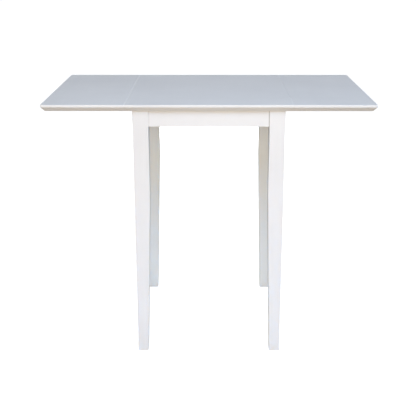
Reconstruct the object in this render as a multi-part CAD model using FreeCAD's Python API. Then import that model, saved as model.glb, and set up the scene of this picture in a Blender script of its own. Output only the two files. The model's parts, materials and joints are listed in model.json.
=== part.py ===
import FreeCAD, Part
import math
import os

# Small painted drop leaf table: a centre board on four tapered legs, with one leaf hinged at each end.
# Millimetres. Origin on the floor under the middle of the table, +X towards the right leaf,
# +Y towards the back, +Z up. The rest pose has both leaves up.

INCH = 25.4
V = FreeCAD.Vector
X_AXIS = V(1, 0, 0)
Y_AXIS = V(0, 1, 0)
Z_AXIS = V(0, 0, 1)
ORIGIN = V(0, 0, 0)

# Overall sizes
OPEN_LENGTH = 36 * INCH
CENTRE_LENGTH = 18.125 * INCH
DEPTH = 21.5 * INCH
HEIGHT = 29.25 * INCH

# Boards of the top
TOP_THICKNESS = 0.75 * INCH
EDGE_FACE = 6.7            # height of the square part of the edge, above the bevel
BEVEL_RUN = 11.3           # how far the bevel under the edge runs inwards
SEAM_GAP = 0.2             # between the centre board and a leaf
CORNER_ROUND = 4.0         # corners of the leaves, seen from above
TOP_EASE = 1.5             # rounding of the upper outer edges
EASE_STEPS = 4
SEAM_EASE = 1.2            # rounding of the upper edges along the seams
SHARP_CORNER = 1.0         # rounding left on the bevel's mitres

# Legs and aprons
LEG_TOP = 44.0
LEG_FOOT = 31.0
LEG_TAPER_START = 480.0    # height above the floor where the two inner faces start to taper
LEG_OUT_X = 210.0          # from the table's centre to a leg's outer face
LEG_OUT_Y = 257.5
LEG_EASE = 1.5             # rounding of the long edges
FOOT_EASE = 2.0            # rounding round the foot
FOOT_STEPS = 3
SHARP_EDGE = 0.4           # rounding left on the long edges at the foot's rim
APRON_HEIGHT = 45.0
APRON_THICKNESS = 0.75 * INCH
APRON_SETBACK = 3.0        # from a leg's outer face to the apron's
APRON_EASE = 1.2           # rounding of the lower outer edge

# Corner blocks and hanger bolts, measured from the leg's outer corner along both sides
BLOCK_HEIGHT = 1.5 * INCH
BLOCK_NEAR = 98.0          # sum of the two distances on the block's face towards the leg
BLOCK_FAR = 129.0          # the same on its inner face
LEG_CORNER_FLAT = 8.0      # flat that seats the bolt on the leg's inner corner
BOLT_RADIUS = 3.9
BOLT_TIP_RADIUS = 0.8
BOLT_TIP_LENGTH = 6.0
BOLT_IN_LEG = 26.0
BOLT_PAST_BLOCK = 13.0
WASHER_RADIUS = 9.0
WASHER_THICKNESS = 1.6
NUT_FLATS = 12.7
NUT_HEIGHT = 6.5
NUT_CHAMFER = 0.8
TOP_SCREW_OFFSET = 25.0    # along the block, from the bolt
BLOCK_SCREW_AT = 92.0      # distance of the apron screws from the leg's outer corner
BLOCK_SCREW_SEAT = 10.0    # wood left between an apron and the screw's head
POCKET_CLEARANCE = 0.5     # round a sunk screw head

# Hinges
HINGE_Y = 175.0
HINGE_LENGTH = 50.0
HINGE_DROP = 3.5           # pin axis below the underside of the top
KNUCKLE_RADIUS = 3.2
KNUCKLES = 5
KNUCKLE_GAP = 0.3
PIN_RADIUS = 1.5
PLATE_THICKNESS = 2.0
PLATE_EDGE = 3.7           # plate edge to pin axis
FRAME_PLATE_WIDTH = 15.4
LEAF_PLATE_WIDTH = 40.0
LEAF_PLATE_TIP = 26.0      # length of the leaf plate's narrow end
TONGUE_OVERLAP = 0.5       # of a knuckle's tongue with its plate
PIN_CHAMFER = 0.3
FRAME_PLATE_SCREWS = (-18.0, 0.0, 18.0)                          # along the hinge
LEAF_PLATE_SCREWS = ((12.0, -17.0), (12.0, 17.0), (35.0, 0.0))   # out from the pin, and along the hinge

# Slotted stays
STAY_Y = 40.0              # middle plane of the arms
STAY_PIVOT_OUT = 79.0      # arm pivot from the hinge axis, outwards
STAY_PIVOT_DROP = 10.0     # and downwards
STAY_PIN_IN = 45.0         # slot pin from the hinge axis, inwards
ARM_THICKNESS = 2.5
ARM_HALF_WIDTH = 9.0
SLOT_RADIUS = 2.75
SLOT_SPARE = 0.5           # slot length past the pin at both ends of its travel
NOTCH_DEPTH = 3.5
STAY_PIN_RADIUS = 2.5
STAY_HEAD_RADIUS = 6.0
STAY_TAIL_RADIUS = 4.5
STAY_HEAD_THICKNESS = 2.2
STAY_TAIL_THICKNESS = 1.7
STAY_HEAD_ROUND = 1.2
STAY_TAIL_ROUND = 0.9
SLOT_PIN_PLAY = 0.3        # from the slot pin's head to the arm
BRACKET_THICKNESS = 2.5
BRACKET_OFF = 2.25         # from the arms' middle plane to the brackets
BRACKET_ROUND = 4.0        # corners of the flanges
STAY_WASHER_THICKNESS = 0.9
LEAF_FLANGE_LENGTH = 44.0
LEAF_FLANGE_WIDTH = 24.0
LEAF_FLANGE_SCREWS = (-14.0, 14.0)      # either side of the pivot
FRAME_FLANGE_WIDTH = 30.0
FRAME_FLANGE_TOP = 4.0     # below the underside of the top
FRAME_FLANGE_HEIGHT = 39.0
FRAME_FLANGE_SCREWS = (9.0, 29.0)       # below the flange's top
FLANGE_SCREW_SHIFT = 2.5   # from the middle of a flange, away from its bend
APRON_CLEARANCE = 1.0      # from the frame bracket's wide foot to the apron above it

# Screws: shank radius, head radius, head height, length
SMALL_SCREW = (1.7, 3.5, 1.9, 15.0)
BLOCK_SCREW = (2.0, 4.0, 2.2, 27.0)
TOP_SCREW = (2.2, 4.4, 2.4, 49.0)
RECESS_WIDTH = 0.8
RECESS_DEPTH = 0.6         # share of the head's height
RECESS_REACH = 0.55        # share of the head's radius
TIP_LENGTH = 2.5           # in shank radii
TIP_RADIUS = 0.2
HOLE_CLEARANCE = 0.05
SCREW_HOLE_SPARE = 0.5
RUNNING_CLEARANCE = 0.05
CUT_SPARE = 1.0            # how far a cutting shape reaches past what it cuts
SAME = 0.01                # two lengths closer than this count as equal

# Worked out from the above
half_length = OPEN_LENGTH / 2
half_centre = CENTRE_LENGTH / 2
half_depth = DEPTH / 2
underside = HEIGHT - TOP_THICKNESS
bevel_rise = TOP_THICKNESS - EDGE_FACE
hinge_x = half_centre
hinge_z = underside - HINGE_DROP
apron_out_x = LEG_OUT_X - APRON_SETBACK
apron_out_y = LEG_OUT_Y - APRON_SETBACK
apron_in_x = apron_out_x - APRON_THICKNESS
apron_in_y = apron_out_y - APRON_THICKNESS
block_inset = APRON_SETBACK + APRON_THICKNESS
bolt_z = underside - BLOCK_HEIGHT / 2
stay_reach = math.hypot(STAY_PIVOT_OUT, STAY_PIVOT_DROP)
stay_pin_drop = math.sqrt(stay_reach ** 2 - STAY_PIN_IN ** 2)

SIDES = {"left": -1, "right": 1}
ENDS = {"front": -1, "back": 1}


def mirrored(shape, side_x, side_y=1):
    """A piece made for the right (and back) of the table, mirrored to the other side where asked."""
    if side_x < 0:
        shape = shape.mirror(ORIGIN, X_AXIS)
    if side_y < 0:
        shape = shape.mirror(ORIGIN, Y_AXIS)
    return shape


def box(x0, x1, y0, y1, z0, z1):
    return Part.makeBox(x1 - x0, y1 - y0, z1 - z0, V(x0, y0, z0))


def prism(points, travel):
    return Part.Face(Part.makePolygon(points + points[:1])).extrude(travel)


def rod_y(x, z, radius, y0, y1):
    return Part.makeCylinder(radius, y1 - y0, V(x, y0, z), Y_AXIS)


def stadium(a, b, radius, y0, y1):
    """A flat bar with round ends, from a to b in the XZ plane, between y0 and y1."""
    along = V(b[0] - a[0], 0, b[1] - a[1]).normalize()
    across = V(-along.z, 0, along.x)
    start = V(a[0], y0, a[1])
    stop = V(b[0], y0, b[1])
    wire = Part.Wire([
        Part.LineSegment(start + across * radius, stop + across * radius).toShape(),
        Part.Arc(stop + across * radius, stop + along * radius, stop - across * radius).toShape(),
        Part.LineSegment(stop - across * radius, start - across * radius).toShape(),
        Part.Arc(start - across * radius, start - along * radius, start + across * radius).toShape(),
    ])
    return Part.Face(wire).extrude(V(0, y1 - y0, 0))


def edges_where(shape, test):
    """The edges whose two ends both pass the test."""
    return [e for e in shape.Edges if all(test(v.Point) for v in e.Vertexes)]


def near(a, b):
    return abs(a - b) < SAME


def place(shape, point, direction):
    """Turns a piece made along -Z from the origin so that it runs along direction from point."""
    turn = FreeCAD.Rotation(V(0, 0, -1), direction)
    shape.Placement = FreeCAD.Placement(point, turn)
    return shape


# Screws, all countersunk with a cross recess

def screw(sizes, point, direction):
    shank, head, head_height, length = sizes
    tip = TIP_LENGTH * shank
    body = Part.makeCone(shank, head, head_height, V(0, 0, -head_height))
    body = body.fuse(Part.makeCylinder(shank, length - tip - head_height, V(0, 0, tip - length)))
    body = body.fuse(Part.makeCone(TIP_RADIUS, shank, tip, V(0, 0, -length)))
    recess = RECESS_DEPTH * head_height
    half = RECESS_REACH * head
    wide = RECESS_WIDTH / 2
    body = body.cut(box(-half, half, -wide, wide, -recess, CUT_SPARE))
    body = body.cut(box(-wide, wide, -half, half, -recess, CUT_SPARE))
    return place(body.removeSplitter(), point, direction)


def screw_hole(sizes, point, direction):
    shank, head, head_height, length = sizes
    hole = Part.makeCone(shank + HOLE_CLEARANCE, head + HOLE_CLEARANCE, head_height, V(0, 0, -head_height))
    depth = length + SCREW_HOLE_SPARE
    hole = hole.fuse(Part.makeCylinder(shank + HOLE_CLEARANCE, depth, V(0, 0, -depth)))
    return place(hole, point, direction)


def drill(shape, sizes, spots):
    for point, direction in spots:
        shape = shape.cut(screw_hole(sizes, point, direction))
    return shape


def screws(sizes, spots):
    return Part.makeCompound([screw(sizes, point, direction) for point, direction in spots])


def mirror_spots(spots, side_x, side_y=1):
    """Screw places for the right back corner, mirrored to another corner."""
    moved = []
    for point, direction in spots:
        place_at = V(point.x * side_x, point.y * side_y, point.z)
        heading = V(direction.x * side_x, direction.y * side_y, direction.z)
        moved.append((place_at, heading))
    return moved


# Where the fasteners go, on the right (and back) of the table

def corner_point(u, v, z):
    """A point u and v inwards from the outer corner of the right back leg."""
    return V(LEG_OUT_X - u, LEG_OUT_Y - v, z)


def top_screw_spots():
    middle = (BLOCK_NEAR + BLOCK_FAR) / 4
    shift = TOP_SCREW_OFFSET / math.sqrt(2)
    low = underside - BLOCK_HEIGHT
    return [(corner_point(middle - s, middle + s, low), Z_AXIS) for s in (-shift, shift)]


def block_screw_spots():
    """Into the two aprons; the heads sit in pockets in the block's slanting inner face."""
    seat = block_inset + BLOCK_SCREW_SEAT
    return [
        (corner_point(seat, BLOCK_SCREW_AT, bolt_z), X_AXIS),
        (corner_point(BLOCK_SCREW_AT, seat, bolt_z), Y_AXIS),
    ]


def hinge_frame_spots(y):
    z = hinge_z + HINGE_DROP - PLATE_THICKNESS
    x = hinge_x - PLATE_EDGE - FRAME_PLATE_WIDTH / 2
    return [(V(x, y + dy, z), Z_AXIS) for dy in FRAME_PLATE_SCREWS]


def hinge_leaf_spots(y):
    z = hinge_z + HINGE_DROP - PLATE_THICKNESS
    return [(V(hinge_x + dx, y + dy, z), Z_AXIS) for dx, dy in LEAF_PLATE_SCREWS]


def stay_leaf_spots():
    z = underside - BRACKET_THICKNESS
    y = STAY_Y + BRACKET_OFF + LEAF_FLANGE_WIDTH / 2 + FLANGE_SCREW_SHIFT
    x = hinge_x + STAY_PIVOT_OUT
    return [(V(x + dx, y, z), Z_AXIS) for dx in LEAF_FLANGE_SCREWS]


def stay_frame_spots():
    x = apron_in_x - BRACKET_THICKNESS
    y = STAY_Y + BRACKET_OFF + FRAME_FLANGE_WIDTH / 2 + FLANGE_SCREW_SHIFT
    top = underside - FRAME_FLANGE_TOP
    return [(V(x, y, top - dz), X_AXIS) for dz in FRAME_FLANGE_SCREWS]


# Top boards

def board_section(inset, z):
    """The right leaf's outline at height z, drawn in by inset on its three outer sides."""
    x0 = half_centre + SEAM_GAP / 2
    side_y = half_depth - inset
    end_x = half_length - inset
    radius = max(CORNER_ROUND - inset, SHARP_CORNER)
    bend = radius * (1 - math.sqrt(0.5))
    front = [V(end_x - radius, -side_y, z), V(end_x - bend, -side_y + bend, z), V(end_x, -side_y + radius, z)]
    back = [V(p.x, -p.y, z) for p in reversed(front)]
    return Part.Wire([
        Part.LineSegment(V(x0, -side_y, z), front[0]).toShape(),
        Part.Arc(*front).toShape(),
        Part.LineSegment(front[2], back[0]).toShape(),
        Part.Arc(*back).toShape(),
        Part.LineSegment(back[2], V(x0, side_y, z)).toShape(),
        Part.LineSegment(V(x0, side_y, z), V(x0, -side_y, z)).toShape(),
    ])


def edge_profile():
    """Insets and heights up the outer edge: bevel, square face, rounded upper edge."""
    profile = [(BEVEL_RUN, underside), (0.0, underside + bevel_rise)]
    for step in range(EASE_STEPS + 1):
        turn = math.pi / 2 * step / EASE_STEPS
        profile.append((TOP_EASE * (1 - math.cos(turn)), HEIGHT - TOP_EASE * (1 - math.sin(turn))))
    return profile


def ease_seam(body, x, inwards):
    """Rounds a board's upper edge where it meets its neighbour."""
    end = half_depth + CUT_SPARE
    middle = x + inwards * SEAM_EASE
    xs = sorted((x - inwards * CUT_SPARE, middle))
    waste = box(xs[0], xs[1], -end, end, HEIGHT - SEAM_EASE, HEIGHT + CUT_SPARE)
    waste = waste.cut(rod_y(middle, HEIGHT - SEAM_EASE, SEAM_EASE, -end, end))
    return body.cut(waste)


def top_centre():
    """The fixed board, with bevels under its front and back edges only."""
    x1 = half_centre - SEAM_GAP / 2
    outline = [(half_depth - inset, z) for inset, z in edge_profile()]
    points = [V(-x1, y, z) for y, z in outline] + [V(-x1, -y, z) for y, z in reversed(outline)]
    body = prism(points, V(2 * x1, 0, 0))
    body = ease_seam(body, x1, -1)
    body = ease_seam(body, -x1, 1)
    for side in SIDES.values():
        for end in ENDS.values():
            body = drill(body, TOP_SCREW, mirror_spots(top_screw_spots(), side, end))
            body = drill(body, SMALL_SCREW, mirror_spots(hinge_frame_spots(HINGE_Y), side, end))
    return body


def leaf():
    """The right leaf, bevelled under its three outer edges."""
    sections = [board_section(inset, z) for inset, z in edge_profile()]
    body = Part.makeLoft(sections, True, True)
    body = ease_seam(body, half_centre + SEAM_GAP / 2, 1)
    for end in ENDS.values():
        body = drill(body, SMALL_SCREW, mirror_spots(hinge_leaf_spots(HINGE_Y), 1, end))
    return drill(body, SMALL_SCREW, stay_leaf_spots())


# Base frame

def leg_section(width, z, inset=0.0):
    """Outline of the right back leg at height z: a square with rounded corners, drawn in by inset."""
    radius = max(LEG_EASE - inset, SHARP_EDGE)
    reach = width / 2 - inset - radius
    middle_x = LEG_OUT_X - width / 2
    middle_y = LEG_OUT_Y - width / 2
    arcs = []
    for sign_x, sign_y, start in ((1, 1, 0), (-1, 1, 90), (-1, -1, 180), (1, -1, 270)):
        centre = V(middle_x + sign_x * reach, middle_y + sign_y * reach, z)
        turns = [math.radians(start + step) for step in (0, 45, 90)]
        arcs.append([centre + V(math.cos(t), math.sin(t), 0) * radius for t in turns])
    edges = []
    for k, arc in enumerate(arcs):
        edges.append(Part.Arc(*arc).toShape())
        edges.append(Part.LineSegment(arc[2], arcs[(k + 1) % 4][0]).toShape())
    return Part.Wire(edges)


def leg():
    """The right back leg: square at the top, its two inner faces tapering towards the foot."""
    sections = []
    for step in range(FOOT_STEPS + 1):
        turn = math.pi / 2 * step / FOOT_STEPS
        rise = FOOT_EASE * (1 - math.cos(turn))
        width = LEG_FOOT + (LEG_TOP - LEG_FOOT) * rise / LEG_TAPER_START
        sections.append(leg_section(width, rise, FOOT_EASE * (1 - math.sin(turn))))
    sections.append(leg_section(LEG_TOP, LEG_TAPER_START))
    sections.append(leg_section(LEG_TOP, underside))
    body = Part.makeLoft(sections, True, True)
    inside = LEG_TOP + CUT_SPARE
    reach = LEG_CORNER_FLAT + 2 * CUT_SPARE
    low = underside - APRON_HEIGHT
    seat = [
        corner_point(inside, inside - reach, low),
        corner_point(inside - reach, inside, low),
        corner_point(inside, inside, low),
    ]
    body = body.cut(prism(seat, V(0, 0, APRON_HEIGHT + CUT_SPARE)))
    return body.cut(hanger_bolt(HOLE_CLEARANCE))


def apron_x():
    """The back apron, between two legs."""
    end = LEG_OUT_X - LEG_TOP
    return box(-end, end, apron_in_y, apron_out_y, underside - APRON_HEIGHT, underside)


def apron_y():
    """The right apron, between two legs."""
    end = LEG_OUT_Y - LEG_TOP
    return box(apron_in_x, apron_out_x, -end, end, underside - APRON_HEIGHT, underside)


def ease_apron(body, out_test):
    low = underside - APRON_HEIGHT
    edges = edges_where(body, lambda p: near(p.z, low) and out_test(p))
    return body.makeFillet(APRON_EASE, edges)


def back_apron():
    body = ease_apron(apron_x(), lambda p: near(p.y, apron_out_y))
    for side in SIDES.values():
        body = drill(body, BLOCK_SCREW, mirror_spots(block_screw_spots()[1:], side))
    return body


def right_apron():
    body = ease_apron(apron_y(), lambda p: near(p.x, apron_out_x))
    for end in ENDS.values():
        body = drill(body, BLOCK_SCREW, mirror_spots(block_screw_spots()[:1], 1, end))
    return drill(body, SMALL_SCREW, stay_frame_spots())


def corner_block():
    """Across the right back corner, behind the leg, with its ends on the two aprons."""
    low = underside - BLOCK_HEIGHT
    points = [
        corner_point(block_inset, BLOCK_NEAR - block_inset, low),
        corner_point(block_inset, BLOCK_FAR - block_inset, low),
        corner_point(BLOCK_FAR - block_inset, block_inset, low),
        corner_point(BLOCK_NEAR - block_inset, block_inset, low),
    ]
    body = prism(points, V(0, 0, BLOCK_HEIGHT))
    body = drill(body, BLOCK_SCREW, block_screw_spots())
    pocket = BLOCK_SCREW[1] + POCKET_CLEARANCE
    for point, direction in block_screw_spots():
        body = body.cut(Part.makeCylinder(pocket, BLOCK_FAR - BLOCK_NEAR, point, direction.negative()))
    body = drill(body, TOP_SCREW, top_screw_spots())
    return body.cut(hanger_bolt(HOLE_CLEARANCE))


def diagonal():
    """From the right back leg's corner towards the middle of the table."""
    return V(-1, -1, 0).normalize()


def from_corner(distance):
    """A point on the bolt's axis, that far from the leg's outer corner."""
    return corner_point(0, 0, bolt_z) + diagonal() * distance


def hanger_bolt(grow=0.0):
    start = (2 * LEG_TOP - LEG_CORNER_FLAT) / math.sqrt(2) - BOLT_IN_LEG
    stop = BLOCK_FAR / math.sqrt(2) + BOLT_PAST_BLOCK
    full = start + BOLT_TIP_LENGTH
    body = Part.makeCylinder(BOLT_RADIUS + grow, stop - full, from_corner(full), diagonal())
    small = BOLT_TIP_RADIUS + grow
    tip = Part.makeCone(small, BOLT_RADIUS + grow, BOLT_TIP_LENGTH, from_corner(start), diagonal())
    return body.fuse(tip).removeSplitter()


def hanger_washer():
    seat = from_corner(BLOCK_FAR / math.sqrt(2))
    body = Part.makeCylinder(WASHER_RADIUS, WASHER_THICKNESS, seat, diagonal())
    return body.cut(hanger_bolt(HOLE_CLEARANCE))


def hanger_nut():
    """Hexagon nut with its outer corners turned off."""
    seat = from_corner(BLOCK_FAR / math.sqrt(2) + WASHER_THICKNESS)
    across_corners = NUT_FLATS / math.sqrt(3)
    turns = [math.radians(60 * k) for k in range(6)]
    body = prism([V(math.cos(t), math.sin(t), 0) * across_corners for t in turns], V(0, 0, -NUT_HEIGHT))
    rim = Part.makeCone(NUT_FLATS / 2, across_corners, NUT_CHAMFER, V(0, 0, -NUT_HEIGHT), Z_AXIS)
    middle = Part.makeCylinder(across_corners, NUT_HEIGHT - NUT_CHAMFER, V(0, 0, NUT_CHAMFER - NUT_HEIGHT))
    body = body.common(rim.fuse(middle))
    return place(body, seat, diagonal()).cut(hanger_bolt(HOLE_CLEARANCE))


# Hinges, made for the right leaf at y = 0 and moved along Y

def knuckles(first):
    """Start and stop, along the hinge, of every second knuckle from the first one given."""
    pitch = HINGE_LENGTH / KNUCKLES
    spans = []
    for k in range(first, KNUCKLES, 2):
        low = -HINGE_LENGTH / 2 + k * pitch
        start = low + (KNUCKLE_GAP / 2 if k > 0 else 0)
        stop = low + pitch - (KNUCKLE_GAP / 2 if k < KNUCKLES - 1 else 0)
        spans.append((start, stop))
    return spans


def hinge_plate(outline, first, side):
    """A plate under the wood with its own knuckles. side is -1 for the frame's plate, 1 for the leaf's."""
    upper = hinge_z + HINGE_DROP
    lower = upper - PLATE_THICKNESS
    points = [V(hinge_x + side * x, y, lower) for x, y in outline]
    body = prism(points, V(0, 0, PLATE_THICKNESS))
    for start, stop in knuckles(first):
        xs = sorted((hinge_x, hinge_x + side * (PLATE_EDGE + TONGUE_OVERLAP)))
        tongue = box(xs[0], xs[1], start, stop, lower, hinge_z + KNUCKLE_RADIUS)
        body = body.fuse(tongue).fuse(rod_y(hinge_x, hinge_z, KNUCKLE_RADIUS, start, stop))
    bore = PIN_RADIUS + RUNNING_CLEARANCE
    body = body.cut(rod_y(hinge_x, hinge_z, bore, -HINGE_LENGTH, HINGE_LENGTH))
    return body.removeSplitter()


def hinge_frame_plate(y):
    half = HINGE_LENGTH / 2
    far = PLATE_EDGE + FRAME_PLATE_WIDTH
    body = hinge_plate([(PLATE_EDGE, -half), (far, -half), (far, half), (PLATE_EDGE, half)], 0, -1)
    body.translate(V(0, y, 0))
    return drill(body, SMALL_SCREW, hinge_frame_spots(y))


def hinge_leaf_plate(y):
    half = HINGE_LENGTH / 2
    tip = LEAF_PLATE_TIP / 2
    far = PLATE_EDGE + LEAF_PLATE_WIDTH
    shoulder = PLATE_EDGE + FRAME_PLATE_WIDTH
    front = [(PLATE_EDGE, -half), (shoulder, -half), (far, -tip)]
    back = [(x, -along) for x, along in reversed(front)]
    body = hinge_plate(front + back, 1, 1)
    body.translate(V(0, y, 0))
    return drill(body, SMALL_SCREW, hinge_leaf_spots(y))


def hinge_pin(y):
    body = rod_y(hinge_x, hinge_z, PIN_RADIUS, y - HINGE_LENGTH / 2, y + HINGE_LENGTH / 2)
    return body.makeChamfer(PIN_CHAMFER, [e for e in body.Edges if near(e.BoundBox.YLength, 0)])


# Slotted stays, for the right leaf

def pivot_point():
    return (hinge_x + STAY_PIVOT_OUT, hinge_z - STAY_PIVOT_DROP)


def slot_pin_point():
    return (hinge_x - STAY_PIN_IN, hinge_z - stay_pin_drop)


def toward(a, b, distance):
    """The point that far from a on the way to b, in the XZ plane."""
    length = math.hypot(b[0] - a[0], b[1] - a[1])
    return (a[0] + (b[0] - a[0]) * distance / length, a[1] + (b[1] - a[1]) * distance / length)


def folded_distance():
    """Pivot to slot pin with the leaf hanging: the leaf has turned the pivot a quarter turn down."""
    return math.hypot(STAY_PIN_IN - STAY_PIVOT_DROP, STAY_PIVOT_OUT - stay_pin_drop)


def stay_arm():
    """Strip from the pivot on the leaf to the slot pin on the frame; its slot ends in a locking notch."""
    pivot = pivot_point()
    pin = slot_pin_point()
    y0 = STAY_Y - ARM_THICKNESS / 2
    y1 = STAY_Y + ARM_THICKNESS / 2
    body = stadium(pivot, pin, ARM_HALF_WIDTH, y0, y1)
    open_distance = math.hypot(pivot[0] - pin[0], pivot[1] - pin[1])
    start = toward(pivot, pin, folded_distance() - SLOT_SPARE)
    stop = toward(pivot, pin, open_distance + SLOT_SPARE)
    before = y0 - CUT_SPARE
    beyond = y1 + CUT_SPARE
    body = body.cut(stadium(start, stop, SLOT_RADIUS, before, beyond))
    rise = ((pin[1] - pivot[1]) / open_distance, (pivot[0] - pin[0]) / open_distance)
    notch_top = (stop[0] + rise[0] * NOTCH_DEPTH, stop[1] + rise[1] * NOTCH_DEPTH)
    body = body.cut(stadium(stop, notch_top, SLOT_RADIUS, before, beyond))
    hole = STAY_PIN_RADIUS + RUNNING_CLEARANCE
    return body.cut(rod_y(pivot[0], pivot[1], hole, before, beyond)).removeSplitter()


def headed_pin(point, head_gap):
    """A shouldered rivet through the arm and a bracket, with its head in front of the arm."""
    x, z = point
    face = STAY_Y - ARM_THICKNESS / 2 - head_gap
    back = STAY_Y + BRACKET_OFF + BRACKET_THICKNESS
    front = face - STAY_HEAD_THICKNESS
    end = back + STAY_TAIL_THICKNESS
    body = rod_y(x, z, STAY_PIN_RADIUS, front + STAY_HEAD_ROUND, end - STAY_TAIL_ROUND)
    head = rod_y(x, z, STAY_HEAD_RADIUS, front, face)
    head = head.makeFillet(STAY_HEAD_ROUND, [e for e in head.Edges if near(e.BoundBox.YMax, front)])
    tail = rod_y(x, z, STAY_TAIL_RADIUS, back, end)
    tail = tail.makeFillet(STAY_TAIL_ROUND, [e for e in tail.Edges if near(e.BoundBox.YMin, end)])
    return body.fuse(head).fuse(tail).removeSplitter()


def stay_washer(point):
    x, z = point
    y0 = STAY_Y + ARM_THICKNESS / 2 + RUNNING_CLEARANCE
    y1 = y0 + STAY_WASHER_THICKNESS
    ring = rod_y(x, z, STAY_HEAD_RADIUS, y0, y1)
    return ring.cut(rod_y(x, z, STAY_PIN_RADIUS + RUNNING_CLEARANCE, y0 - CUT_SPARE, y1 + CUT_SPARE))


def bracket_hole(body, point):
    x, z = point
    y0 = STAY_Y + BRACKET_OFF - CUT_SPARE
    y1 = STAY_Y + BRACKET_OFF + BRACKET_THICKNESS + CUT_SPARE
    return body.cut(rod_y(x, z, STAY_PIN_RADIUS + RUNNING_CLEARANCE, y0, y1))


def stay_leaf_bracket():
    """Flange under the leaf with a lug that hangs down to the pivot."""
    x, z = pivot_point()
    y0 = STAY_Y + BRACKET_OFF
    y1 = y0 + BRACKET_THICKNESS
    low = underside - BRACKET_THICKNESS
    half = LEAF_FLANGE_LENGTH / 2
    flange = box(x - half, x + half, y0, y0 + LEAF_FLANGE_WIDTH, low, underside)
    corners = [e for e in flange.Edges if near(e.BoundBox.ZLength, BRACKET_THICKNESS)
               and near(e.BoundBox.YMin, y0 + LEAF_FLANGE_WIDTH)]
    flange = flange.makeFillet(BRACKET_ROUND, corners)
    lug = box(x - ARM_HALF_WIDTH, x + ARM_HALF_WIDTH, y0, y1, z, underside)
    lug = lug.fuse(rod_y(x, z, ARM_HALF_WIDTH, y0, y1))
    body = flange.fuse(lug).removeSplitter()
    return drill(bracket_hole(body, (x, z)), SMALL_SCREW, stay_leaf_spots())


def stay_frame_bracket():
    """Flange on the inside of the side apron with a web that reaches down to the slot pin."""
    x, z = slot_pin_point()
    y0 = STAY_Y + BRACKET_OFF
    y1 = y0 + BRACKET_THICKNESS
    top = underside - FRAME_FLANGE_TOP
    low = top - FRAME_FLANGE_HEIGHT
    flange = box(apron_in_x - BRACKET_THICKNESS, apron_in_x, y0, y0 + FRAME_FLANGE_WIDTH, low, top)
    corners = [e for e in flange.Edges if near(e.BoundBox.XLength, BRACKET_THICKNESS)
               and near(e.BoundBox.YMin, y0 + FRAME_FLANGE_WIDTH)]
    flange = flange.makeFillet(BRACKET_ROUND, corners)
    web = box(x - ARM_HALF_WIDTH, apron_in_x, y0, y1, z, top)
    clear_of_apron = underside - APRON_HEIGHT - APRON_CLEARANCE
    web = web.fuse(box(x - ARM_HALF_WIDTH, x + ARM_HALF_WIDTH, y0, y1, z, clear_of_apron))
    web = web.fuse(rod_y(x, z, ARM_HALF_WIDTH, y0, y1))
    body = flange.fuse(web).removeSplitter()
    return drill(bracket_hole(body, (x, z)), SMALL_SCREW, stay_frame_spots())


# All the pieces

def base_nodes():
    nodes = {"top_centre": top_centre()}
    for end_name, end in ENDS.items():
        for side_name, side in SIDES.items():
            nodes[f"leg_{end_name}_{side_name}"] = mirrored(leg(), side, end)
            nodes[f"corner_block_{end_name}_{side_name}"] = mirrored(corner_block(), side, end)
        nodes[f"apron_{end_name}"] = mirrored(back_apron(), 1, end)
    for side_name, side in SIDES.items():
        nodes[f"apron_{side_name}"] = mirrored(right_apron(), side)
    corners = [(side, end) for side in SIDES.values() for end in ENDS.values()]
    groups = {"hanger_bolts": hanger_bolt(), "hanger_washers": hanger_washer(), "hanger_nuts": hanger_nut()}
    for name, piece in groups.items():
        nodes[name] = Part.makeCompound([mirrored(piece, side, end) for side, end in corners])
    all_block = [spot for side, end in corners for spot in mirror_spots(block_screw_spots(), side, end)]
    all_top = [spot for side, end in corners for spot in mirror_spots(top_screw_spots(), side, end)]
    nodes["corner_block_screws"] = screws(BLOCK_SCREW, all_block)
    nodes["top_screws"] = screws(TOP_SCREW, all_top)
    return nodes


def side_nodes(side_name, side):
    """The hinges, stay and leaf of one side."""
    nodes = {f"leaf_{side_name}": leaf()}
    frame_spots = []
    leaf_spots = []
    for end_name, end in ENDS.items():
        y = end * HINGE_Y
        nodes[f"hinge_frame_plate_{side_name}_{end_name}"] = hinge_frame_plate(y)
        nodes[f"hinge_leaf_plate_{side_name}_{end_name}"] = hinge_leaf_plate(y)
        nodes[f"hinge_pin_{side_name}_{end_name}"] = hinge_pin(y)
        frame_spots += hinge_frame_spots(y)
        leaf_spots += hinge_leaf_spots(y)
    nodes[f"hinge_frame_screws_{side_name}"] = screws(SMALL_SCREW, frame_spots)
    nodes[f"hinge_leaf_screws_{side_name}"] = screws(SMALL_SCREW, leaf_spots)
    nodes[f"stay_arm_{side_name}"] = stay_arm()
    nodes[f"stay_leaf_bracket_{side_name}"] = stay_leaf_bracket()
    nodes[f"stay_pivot_rivet_{side_name}"] = headed_pin(pivot_point(), RUNNING_CLEARANCE)
    nodes[f"stay_pivot_washer_{side_name}"] = stay_washer(pivot_point())
    nodes[f"stay_leaf_screws_{side_name}"] = screws(SMALL_SCREW, stay_leaf_spots())
    nodes[f"stay_frame_bracket_{side_name}"] = stay_frame_bracket()
    nodes[f"stay_slot_pin_{side_name}"] = headed_pin(slot_pin_point(), SLOT_PIN_PLAY)
    nodes[f"stay_slot_washer_{side_name}"] = stay_washer(slot_pin_point())
    nodes[f"stay_frame_screws_{side_name}"] = screws(SMALL_SCREW, stay_frame_spots())
    return {name: mirrored(shape, side) for name, shape in nodes.items()}


def main():
    os.makedirs("parts", exist_ok=True)
    nodes = base_nodes()
    for side_name, side in SIDES.items():
        nodes.update(side_nodes(side_name, side))
    for name, shape in sorted(nodes.items()):
        if not shape.isValid():
            raise ValueError(name + " is not a valid shape")
        shape.exportStep(f"parts/{name}.step")
        print(f"{name:34s} solids {len(shape.Solids):2d}  volume {shape.Volume / 1000:9.2f} cm3")


main()
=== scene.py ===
import json
import math
from collections import namedtuple

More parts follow.
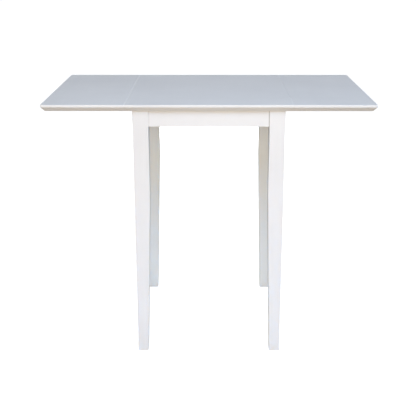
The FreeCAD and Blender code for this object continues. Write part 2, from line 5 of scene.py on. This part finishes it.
import bpy
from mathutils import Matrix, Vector


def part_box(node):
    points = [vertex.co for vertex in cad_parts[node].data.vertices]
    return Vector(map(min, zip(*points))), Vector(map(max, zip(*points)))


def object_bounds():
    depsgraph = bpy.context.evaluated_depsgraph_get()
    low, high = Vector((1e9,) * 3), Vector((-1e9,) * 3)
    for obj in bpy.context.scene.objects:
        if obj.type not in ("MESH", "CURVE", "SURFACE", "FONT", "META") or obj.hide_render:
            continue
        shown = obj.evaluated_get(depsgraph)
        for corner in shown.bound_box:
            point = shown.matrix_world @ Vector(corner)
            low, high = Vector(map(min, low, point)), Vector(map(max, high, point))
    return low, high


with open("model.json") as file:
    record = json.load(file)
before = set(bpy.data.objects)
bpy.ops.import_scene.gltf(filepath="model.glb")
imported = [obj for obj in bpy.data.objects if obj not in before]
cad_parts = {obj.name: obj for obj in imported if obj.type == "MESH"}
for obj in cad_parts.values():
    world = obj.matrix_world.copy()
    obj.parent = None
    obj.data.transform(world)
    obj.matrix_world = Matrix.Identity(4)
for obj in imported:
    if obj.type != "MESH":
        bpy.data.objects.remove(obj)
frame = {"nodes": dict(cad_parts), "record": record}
cad_low, cad_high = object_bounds()

WHITE = (1.0, 1.0, 1.0, 1.0)

scene = bpy.context.scene


# Node helpers

def new_material(name):
    material = bpy.data.materials.new(name)
    material.use_nodes = True
    material.node_tree.nodes.clear()
    return material, material.node_tree


def add(tree, kind, **settings):
    """A node of that kind. A setting is an input's value, with _ for a space in its name, or a property."""
    node = tree.nodes.new("ShaderNode" + kind)
    for key, value in settings.items():
        socket = key.replace("_", " ")
        if socket in node.inputs:
            node.inputs[socket].default_value = value
        else:
            setattr(node, key, value)
    return node


def link(tree, source, target):
    tree.links.new(source, target)


def maths(tree, operation, *operands):
    """The result of a Math node, whose operands are numbers or other nodes' outputs."""
    node = add(tree, "Math", operation=operation)
    for socket, operand in zip(node.inputs, operands):
        if isinstance(operand, (int, float)):
            socket.default_value = operand
        else:
            link(tree, operand, socket)
    return node.outputs["Value"]


def noise(tree, stretch, scale=1.0, detail=2.0, roughness=0.5):
    """Noise in object coordinates, stretched per axis so that a grain runs the way its board does."""
    where = add(tree, "TexCoord")
    mapping = add(tree, "Mapping", Scale=stretch)
    node = add(tree, "TexNoise", Scale=scale, Detail=detail, Roughness=roughness)
    link(tree, where.outputs["Object"], mapping.inputs["Vector"])
    link(tree, mapping.outputs["Vector"], node.inputs["Vector"])
    return node.outputs["Fac"]


def ramp(tree, factor, first, last):
    """The colour at that factor, blended between two stops, each of which is a position and a colour."""
    node = add(tree, "ValToRGB")
    for element, (position, colour) in zip(node.color_ramp.elements, (first, last)):
        element.position = position
        element.color = (*colour, 1.0)
    link(tree, factor, node.inputs["Fac"])
    return node.outputs["Color"]


def spread(tree, value, low, high, start=0.0, end=1.0):
    """The value mapped so that start becomes low and end becomes high, and held at those beyond them."""
    node = add(tree, "MapRange", From_Min=start, From_Max=end, To_Min=low, To_Max=high)
    link(tree, value, node.inputs["Value"])
    return node.outputs["Result"]


def bump(tree, height, distance, strength, below=None):
    """A normal raised by that height, on top of the bump below it if there is one."""
    node = add(tree, "Bump", Distance=distance, Strength=strength)
    link(tree, height, node.inputs["Height"])
    if below is not None:
        link(tree, below, node.inputs["Normal"])
    return node.outputs["Normal"]


def surface(tree, **settings):
    shader = add(tree, "BsdfPrincipled", **settings)
    output = add(tree, "OutputMaterial")
    link(tree, shader.outputs["BSDF"], output.inputs["Surface"])
    return shader


# Fine lines in the paint. Along the seams of the top the rounded edges get a painted highlight, and where
# an apron meets a leg a painted shade line darkens the joint, together with a little dust in a hairline
# crack in the paint.

Line = namedtuple("Line", "axis place half_width strength colour lowest")

# painted highlight along the seams of the top
PAINTED_HIGHLIGHT = (0.95, 0.95, 0.95)
# painted shade in the apron-leg joints, mixed with a little dust in a hairline crack
DUST_AND_SHADE = (0.42, 0.40, 0.37)
LINE_CORE = 0.001          # distance from a line's middle at which it starts to fade
HIGHLIGHT_DEPTH = 0.001       # the painted highlight ends this far below the top's face, so that its edge has none

seam_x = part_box("top_centre")[1].x
leg_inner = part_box("leg_back_right")[0]


def pair_of_lines(axis, place, half_widths, strengths, colour, lowest=0.0):
    """A line at -place and one at +place on that axis, each with its half width and strength."""
    return [Line(axis, side * place, half_width, strength, colour, lowest)
            for side, half_width, strength in zip((-1, 1), half_widths, strengths)]


# the seams get a painted highlight, stronger on the left seam than on the right
SEAM_LINES = pair_of_lines("X", seam_x, (0.0034, 0.0034), (1.0, 0.4), PAINTED_HIGHLIGHT, cad_high.z - HIGHLIGHT_DEPTH)
# where the aprons meet the legs, a painted shade line with a little dust, on the long aprons stronger by
# the right leg
LONG_APRON_LINES = pair_of_lines("X", leg_inner.x, (0.0045, 0.003), (0.25, 0.75), DUST_AND_SHADE)
SHORT_APRON_LINES = pair_of_lines("Y", leg_inner.y, (0.003, 0.003), (0.6, 0.6), DUST_AND_SHADE)


def painted_lines(tree, colour, lines):
    """That colour with those fine lines in it: painted highlights along seams, and painted shade with a
    little dust in joints.
    """
    where = add(tree, "TexCoord")
    parted = add(tree, "SeparateXYZ")
    link(tree, where.outputs["Object"], parted.inputs["Vector"])
    for line in lines:
        distance = maths(tree, "ABSOLUTE", maths(tree, "SUBTRACT", parted.outputs[line.axis], line.place))
        fade = spread(tree, distance, line.strength, 0.0, start=LINE_CORE, end=line.half_width)
        above = maths(tree, "GREATER_THAN", parted.outputs["Z"], line.lowest)
        mixed = add(tree, "MixRGB", Color2=(*line.colour, 1.0))
        link(tree, maths(tree, "MULTIPLY", fade, above), mixed.inputs["Fac"])
        link(tree, colour, mixed.inputs["Color1"])
        colour = mixed.outputs["Color"]
    return colour


# Materials. A texture repeats about as many times in a metre as its stretch times its scale.

EVEN = (1.0, 1.0, 1.0)

PAINT_DULL = (0.80, 0.80, 0.805)
PAINT_CLEAN = (0.85, 0.85, 0.85)
ACROSS_GRAIN = 60.0
ALONG_GRAIN = 2.5
GRAIN_SHOWING = 0.25       # how much of the grain shows in the paint's tone

WOOD_DARK = (0.42, 0.27, 0.14)
WOOD_PALE = (0.66, 0.47, 0.28)
FIBRES = (90.0, 90.0, 600.0)
RINGS = (12.0, 12.0, 70.0)

ROLLING_LINES = (400.0, 4000.0, 400.0)
SMOOTHER = 0.06            # the plating's roughness runs from this much below the value given
ROUGHER = 0.1              # to this much above it


def painted_wood(name, along, lines=()):
    """Satin white paint with faint grain along that axis, slight mottling and an orange-peel texture."""
    material, tree = new_material(name)
    shader = surface(tree, Specular_IOR_Level=0.35)
    grain_stretch = [ALONG_GRAIN if axis == along else ACROSS_GRAIN for axis in "XYZ"]
    grain = noise(tree, grain_stretch, detail=3.0, roughness=0.6)
    cloud = noise(tree, EVEN, scale=5.0, detail=3.0, roughness=0.55)
    orange_peel = noise(tree, EVEN, scale=700.0, detail=1.0)
    streaky = maths(tree, "MULTIPLY_ADD", grain, GRAIN_SHOWING, cloud)
    colour = ramp(tree, streaky, (0.35, PAINT_DULL), (0.85, PAINT_CLEAN))
    link(tree, painted_lines(tree, colour, lines), shader.inputs["Base Color"])
    link(tree, spread(tree, cloud, low=0.44, high=0.56), shader.inputs["Roughness"])
    normal = bump(tree, grain, distance=0.00004, strength=0.35)
    normal = bump(tree, orange_peel, distance=0.00001, strength=0.4, below=normal)
    link(tree, normal, shader.inputs["Normal"])
    return material


def bare_wood(name):
    """Sanded, unpainted wood, with fine fibres over broader rings."""
    material, tree = new_material(name)
    shader = surface(tree, Roughness=0.62, Specular_IOR_Level=0.3)
    fibres = noise(tree, FIBRES, detail=4.0, roughness=0.6)
    rings = noise(tree, RINGS)
    tone = maths(tree, "MULTIPLY", fibres, rings)
    link(tree, ramp(tree, tone, (0.12, WOOD_DARK), (0.42, WOOD_PALE)), shader.inputs["Base Color"])
    link(tree, bump(tree, fibres, distance=0.0002, strength=0.6), shader.inputs["Normal"])
    return material


def zinc(name, dull, bright, roughness):
    """Zinc-plated steel with a cloudy plating and fine rolling lines."""
    material, tree = new_material(name)
    shader = surface(tree, Metallic=0.85)
    cloud = noise(tree, EVEN, scale=120.0, detail=3.0, roughness=0.6)
    lines = noise(tree, ROLLING_LINES)
    link(tree, ramp(tree, cloud, (0.3, dull), (0.7, bright)), shader.inputs["Base Color"])
    link(tree, spread(tree, cloud, roughness - SMOOTHER, roughness + ROUGHER), shader.inputs["Roughness"])
    link(tree, bump(tree, lines, distance=0.00002, strength=0.4), shader.inputs["Normal"])
    return material


# the boards carry the painted seam highlight, and the aprons the painted joint shade with a little dust
paint_boards = painted_wood("paint_boards", "Y", SEAM_LINES)
paint_long_aprons = painted_wood("paint_long_aprons", "X", LONG_APRON_LINES)
paint_short_aprons = painted_wood("paint_short_aprons", "Y", SHORT_APRON_LINES)
paint_legs = painted_wood("paint_legs", "Z")
unpainted = {
    "bare_wood": bare_wood("bare_block"),
    "zinc_hardware": zinc("zinc_plate", (0.62, 0.62, 0.64), (0.8, 0.8, 0.81), roughness=0.36),
    "zinc_fasteners": zinc("zinc_fastener", (0.6, 0.58, 0.52), (0.8, 0.77, 0.69), roughness=0.3),
}
slots = {part["node"]: part["material_slot"] for part in frame["record"]["subparts"]}


def finish_of(name):
    """An unpainted node's finish goes by its slot in the record, a painted one's by what part it is."""
    if slots[name] in unpainted:
        return unpainted[slots[name]]
    if name.startswith("leg_"):
        return paint_legs
    if name in ("apron_front", "apron_back"):
        return paint_long_aprons
    if name.startswith("apron_"):
        return paint_short_aprons
    return paint_boards


for name, node in frame["nodes"].items():
    node.data.materials.clear()
    node.data.materials.append(finish_of(name))


# Camera, in front of the table and looking down at it a little

SENSOR_WIDTH = 36.0
LENS = 72.09
CAMERA_PLACE = (0.0026, -2.4987, 1.1568)
CAMERA_PITCH = 17.58       # degrees below level
CAMERA_YAW = -0.13         # degrees to the right of straight ahead


def studio_camera():
    data = bpy.data.cameras.new("camera")
    data.sensor_width = SENSOR_WIDTH
    data.lens = LENS
    camera = bpy.data.objects.new("camera", data)
    camera.location = CAMERA_PLACE
    camera.rotation_euler = (math.radians(90 - CAMERA_PITCH), 0.0, math.radians(-CAMERA_YAW))
    scene.collection.objects.link(camera)
    scene.camera = camera


studio_camera()


# Lights. The two bounce lamps and the one for the feet stand for light thrown back by a floor.
# Each row: place, target, size across and up, spread of the beam in degrees, watts by colour.

LIGHTS = {
    "front_left": ((-0.7, -2.9, 1.2), (0, 0, 0.5), (0.6, 0.8), 180, (24.2, 20.6, 15.8)),
    "front_right": ((1.1, -2.8, 1.2), (0, 0, 0.5), (0.6, 0.8), 180, (17.4, 16, 10.7)),
    "front_high": ((1.0, -2.6, 2.6), (0, 0, 0.6), (0.8, 1.0), 180, (12.2, 20.2, 35.2)),
    "front_top": ((0.2, -2.1, 3.2), (0, 0, 0.6), (1.0, 0.8), 180, (28.6, 31, 34.4)),
    "overhead": ((0.3, 0.3, 3.0), (0, 0, 0.7), (2.4, 2.4), 180, (2.4, 1.7, 0.8)),
    "bounce_front": ((0, -1.3, 0.02), (0, -0.3, 0.6), (1.0, 0.5), 180, (2.9, 1.9, 1.4)),
    "bounce_under": ((0, 0, 0.01), (0, 0, 1.0), (0.36, 0.46), 180, (0.2, 0.24, 0.22)),
    "feet": ((0.3, -2.6, 0.08), (0, -0.2, 0.1), (0.5, 0.25), 30, (0.04, 0.18, 0.37)),
    "back": ((-0.3, 3.0, 1.2), (0, 0, 0.5), (2.4, 1.2), 180, (40, 40, 40)),
    "back_low": ((0, 3.0, 0.35), (0, 0, 0.35), (0.5, 0.5), 180, (16, 16, 16)),
    "side_left": ((-3.2, 0.2, 1.0), (0, 0, 0.45), (1.6, 1.2), 180, (28, 28, 28)),
    "side_right": ((3.2, 0.2, 1.0), (0, 0, 0.45), (1.6, 1.2), 180, (36, 36, 36)),
}


def area_light(name, location, target, size, beam, watts):
    """A soft lamp. Only the overhead one shows in glossy surfaces, so no other leaves a coloured sheen."""
    power = max(watts)
    data = bpy.data.lights.new(name, "AREA")
    data.shape = "RECTANGLE"
    data.size, data.size_y = size
    data.spread = math.radians(beam)
    data.energy = power
    data.color = [share / power for share in watts]
    lamp = bpy.data.objects.new(name, data)
    lamp.location = location
    lamp.rotation_euler = (Vector(target) - Vector(location)).to_track_quat("-Z", "Y").to_euler()
    lamp.visible_camera = False
    lamp.visible_glossy = name == "overhead"
    scene.collection.objects.link(lamp)


for name, settings in LIGHTS.items():
    area_light(name, *settings)


# World, floor and backdrop

SURROUND = (0.19, 0.20, 0.21, 1.0)
FLOOR_SIZE = 80.0
FLOOR_TONE = (0.9, 0.9, 0.9, 1.0)
FLOOR_GLOW = 0.85
BACKDROP_RADIUS = 39.0     # a little less than half the floor's size, so that the two meet


def studio_world():
    """An even, faintly blue surround."""
    world = bpy.data.worlds.new("studio")
    world.use_nodes = True
    tree = world.node_tree
    tree.nodes.clear()
    background = add(tree, "Background", Color=SURROUND)
    output = add(tree, "OutputWorld")
    link(tree, background.outputs["Background"], output.inputs["Surface"])
    scene.world = world


def stage_new_mesh(name, material):
    """Makes the mesh added last a part of the studio, which lends the table no light of its own."""
    piece = bpy.context.object
    piece.name = name
    piece.data.materials.append(material)
    piece.visible_diffuse = False
    piece.visible_glossy = False
    return piece


def studio_floor():
    """A pale floor that glows enough to look pure white."""
    material, tree = new_material("floor")
    surface(tree, Roughness=0.9, Base_Color=FLOOR_TONE, Emission_Color=WHITE, Emission_Strength=FLOOR_GLOW)
    bpy.ops.mesh.primitive_plane_add(size=FLOOR_SIZE, location=(0, 0, 0))
    stage_new_mesh("floor", material)


def backdrop():
    """A white dome, seen by the camera only."""
    material, tree = new_material("backdrop")
    glow = add(tree, "Emission", Color=WHITE)
    output = add(tree, "OutputMaterial")
    link(tree, glow.outputs["Emission"], output.inputs["Surface"])
    bpy.ops.mesh.primitive_uv_sphere_add(radius=BACKDROP_RADIUS, segments=64, ring_count=32)
    dome = stage_new_mesh("backdrop", material)
    dome.visible_transmission = False
    dome.visible_shadow = False


studio_world()
studio_floor()
backdrop()
scene.view_settings.view_transform = "Standard"
